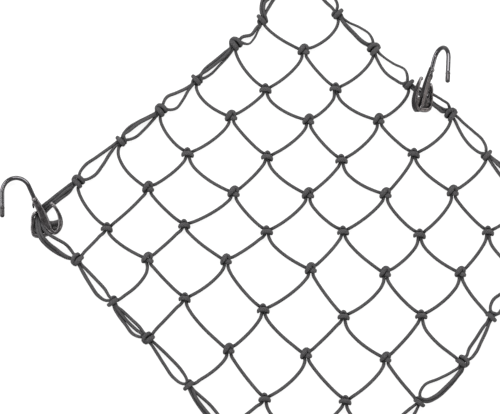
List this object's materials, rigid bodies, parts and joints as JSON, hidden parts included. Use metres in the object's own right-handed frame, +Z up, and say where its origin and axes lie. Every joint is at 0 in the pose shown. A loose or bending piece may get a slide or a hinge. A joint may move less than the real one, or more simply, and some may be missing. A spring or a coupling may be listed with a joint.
{
  "type": "cargo net",
  "caption": "Knotted cargo net of braided cord with a doubled border and moulded clips that carry bent wire hooks, laid flat.",
  "frame": {"origin": "middle of the footprint, on the surface that the net lies on", "axes": "+Z up from that surface; +Y towards the net's top corner; +X towards its right corner"},
  "size_m": [0.5838, 0.6262, 0.0448],
  "materials": {
    "cord": "matte braided cord, charcoal",
    "clip": "satin moulded plastic, near black",
    "wire": "glossy dark enamel on steel wire"
  },
  "bodies": {
    "root": {"netting": "cord", "border_cord": "cord", "hook_clip_left": "clip", "hook_wire_left": "wire", "hook_tip_left": "clip", "hook_clip_top": "clip", "hook_wire_top": "wire", "hook_tip_top": "clip", "hook_clip_right": "clip", "hook_wire_right": "wire", "hook_tip_right": "clip", "hook_clip_bottom": "clip", "hook_wire_bottom": "wire", "hook_tip_bottom": "clip", "hook_clip_side": "clip", "hook_wire_side": "wire", "hook_tip_side": "clip"}
  },
  "joints": []
}
